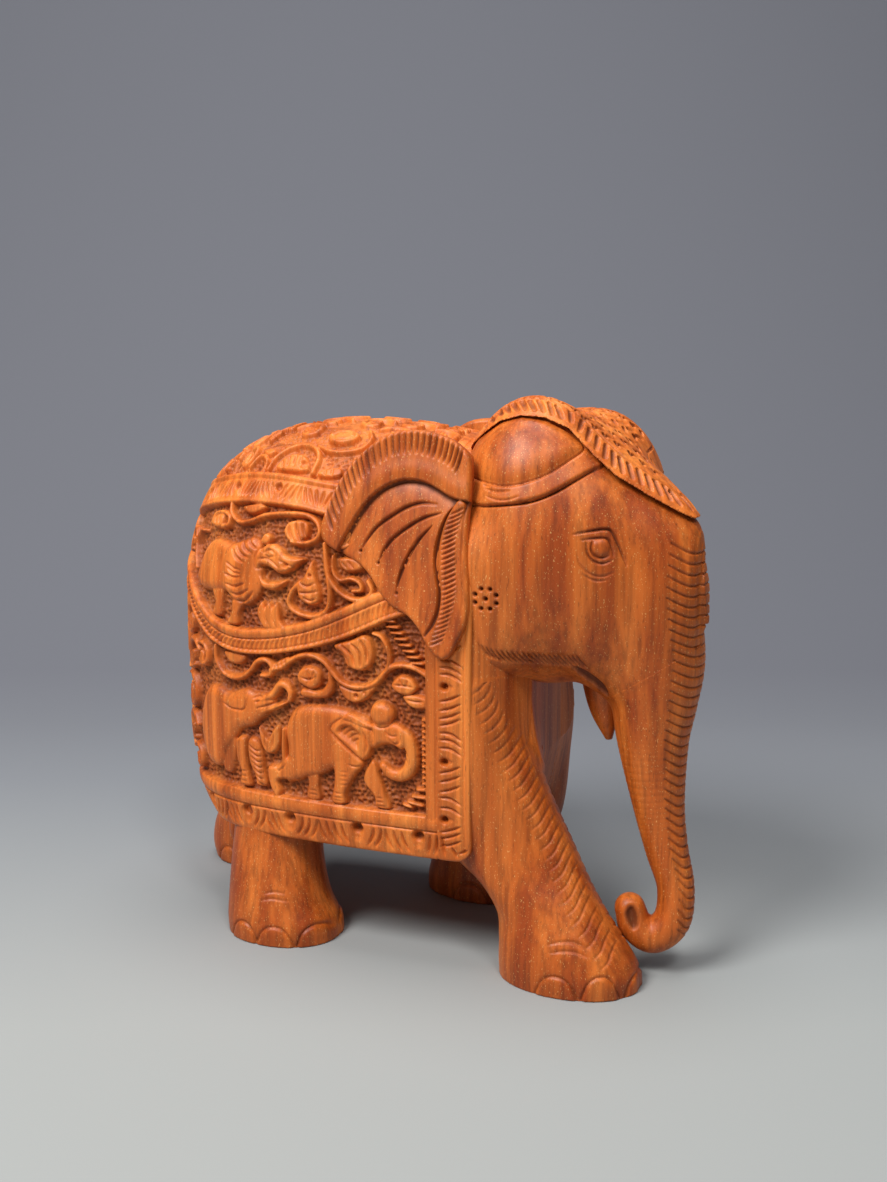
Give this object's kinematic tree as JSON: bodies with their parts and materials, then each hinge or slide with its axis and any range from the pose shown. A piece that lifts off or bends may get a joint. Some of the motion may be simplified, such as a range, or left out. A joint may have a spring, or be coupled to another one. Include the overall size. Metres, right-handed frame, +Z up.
{
  "type": "carved wooden elephant figurine",
  "caption": "Walking elephant figurine carved in reddish-brown wood, with a relief-carved saddle cloth, a braided headdress and a lowered trunk.",
  "frame": {"origin": "on the ground, under the middle of the figure's bounding box", "axes": "+X the way the elephant walks, +Y its left side, +Z up"},
  "size_m": [0.1638, 0.0772, 0.15],
  "materials": {
    "smooth_wood": "satin, waxed",
    "carved_wood": "satin, darker in the recesses"
  },
  "bodies": {
    "root": {"body": "smooth_wood", "saddle_cloth": "carved_wood", "head": "smooth_wood", "headdress": "carved_wood", "trunk": "smooth_wood", "lower_lip": "smooth_wood", "right_ear": "smooth_wood", "left_ear": "smooth_wood", "tail": "smooth_wood", "right_foreleg": "smooth_wood", "left_foreleg": "smooth_wood", "right_hind_leg": "smooth_wood", "left_hind_leg": "smooth_wood"}
  },
  "joints": []
}
